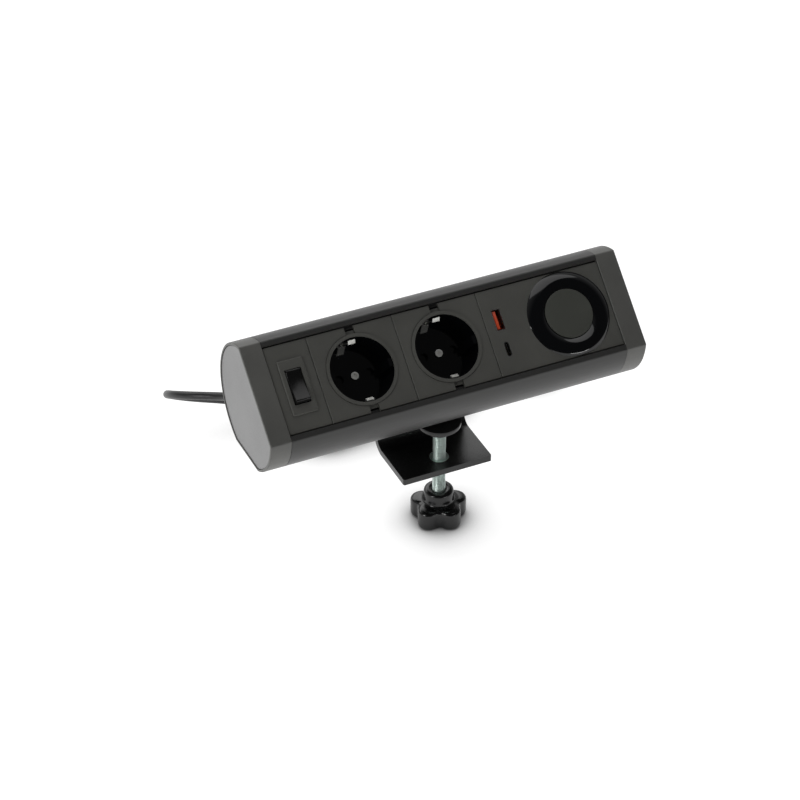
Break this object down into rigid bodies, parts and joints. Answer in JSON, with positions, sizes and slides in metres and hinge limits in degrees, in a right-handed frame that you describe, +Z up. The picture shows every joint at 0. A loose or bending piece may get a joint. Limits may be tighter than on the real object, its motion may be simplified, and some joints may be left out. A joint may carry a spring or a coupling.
{
  "type": "desk power strip",
  "caption": "Clamp-on desk power strip with a sloping face that holds a rocker switch, earthed sockets, USB ports and a wireless charging pad.",
  "frame": {"origin": "on the clamp screw's axis, at the rubber seat that rests on the desk top", "axes": "+X along the strip towards the charging pad, +Y to its back, +Z up"},
  "size_m": [0.277, 0.1737, 0.153],
  "materials": {
    "black_profile": "black anodised, satin",
    "cap_plastic": "fine-grain moulded, satin",
    "end_plate_grey": "satin grey",
    "plate_plastic": "fine-grain moulded, matte",
    "gloss_black": "polished",
    "rocker_plastic": "satin gloss",
    "disc_rubber": "matte soft-touch",
    "contact_metal": "nickel plated",
    "brass": "bright",
    "copper": "enamelled winding",
    "ferrite": "matt sheet",
    "board_green": "solder-masked board with components",
    "white_moulding": "insulating moulding",
    "usb_orange": "moulded insert",
    "usb_steel": "drawn shell",
    "black_steel": "semi-gloss powder coat",
    "zinc": "blue zinc plated, threaded",
    "seat_rubber": "matte",
    "knob_plastic": "moulded, glossy",
    "cord_jacket": "satin PVC jacket",
    "plug_plastic": "fine-grain moulded"
  },
  "bodies": {
    "root": {"housing_profile": "black_profile", "right_end_cap": "cap_plastic", "left_end_cap": "cap_plastic", "right_end_plate": "end_plate_grey", "left_end_plate": "end_plate_grey", "end_cap_screws": "zinc", "switch_plate": "plate_plastic", "switch_frame": "plate_plastic", "switch_terminals": "brass", "bus_bars": "brass", "charger_plate": "plate_plastic", "charger_ring": "gloss_black", "charger_disc": "disc_rubber", "charger_carrier": "white_moulding", "charger_coil": "copper", "ferrite_sheet": "ferrite", "charger_board": "board_green", "usb_a_shell": "usb_steel", "usb_a_tongue": "usb_orange", "usb_c_shell": "usb_steel", "usb_c_tongue": "gloss_black", "usb_board": "board_green", "power_supply": "board_green", "clamp_bracket": "black_steel", "jaw_pad": "seat_rubber", "bracket_screws": "zinc", "nut_plate": "zinc", "thread_bush": "zinc", "cable_gland": "seat_rubber", "mains_cord": "cord_jacket", "cord_tail": "cord_jacket", "cord_hank": "cord_jacket", "hank_tie": "seat_rubber", "plug_body": "plug_plastic", "plug_pins": "contact_metal", "socket_plate_1": "plate_plastic", "socket_bezel_1": "plate_plastic", "socket_well_1": "gloss_black", "socket_screw_1": "contact_metal", "earth_clip_1": "contact_metal", "pin_contacts_1": "brass", "socket_base_1": "white_moulding", "socket_plate_2": "plate_plastic", "socket_bezel_2": "plate_plastic", "socket_well_2": "gloss_black", "socket_screw_2": "contact_metal", "earth_clip_2": "contact_metal", "pin_contacts_2": "brass", "socket_base_2": "white_moulding"},
    "rocker": {"rocker": "rocker_plastic"},
    "carriage": {"pad_cup": "zinc"},
    "screw": {"clamp_screw": "zinc", "knob": "knob_plastic", "knob_insert": "brass"},
    "pad": {"pressure_pad": "black_steel", "pad_rubber": "seat_rubber"},
    "shutter_1": {"shutter_1": "gloss_black"},
    "shutter_2": {"shutter_2": "gloss_black"}
  },
  "joints": [
    {"name": "rocker_tilt", "type": "hinge", "parent": "root", "child": "rocker", "pos_m": [-0.0945, -0.0082, 0.05646], "axis": [1, 0, 0], "range_deg": [0, 16]},
    {"name": "screw_feed", "type": "slide", "parent": "root", "child": "carriage", "axis": [0, 0, 1], "range_m": [-0.017, 0.00125]},
    {"name": "knob_turn", "type": "hinge", "parent": "carriage", "child": "screw", "pos_m": [0, 0, -0.05], "axis": [0, 0, 1], "range_deg": [-4896, 360]},
    {"name": "pad_tilt", "type": "hinge", "parent": "carriage", "child": "pad", "pos_m": [0, 0, -0.0075], "axis": [1, 0, 0], "range_deg": [-5, 5]},
    {"name": "shutter_slide_1", "type": "slide", "parent": "root", "child": "shutter_1", "axis": [0, 0.7413, 0.6712], "range_m": [0, 0.006], "stiffness_N_per_m": 60, "springref_m": -0.002},
    {"name": "shutter_slide_2", "type": "slide", "parent": "root", "child": "shutter_2", "axis": [0, 0.7413, 0.6712], "range_m": [0, 0.006], "stiffness_N_per_m": 60, "springref_m": -0.002}
  ],
  "couplings": [
    {"joint": "knob_turn", "follows": "screw_feed", "rad_per_m": 5026.5}
  ]
}
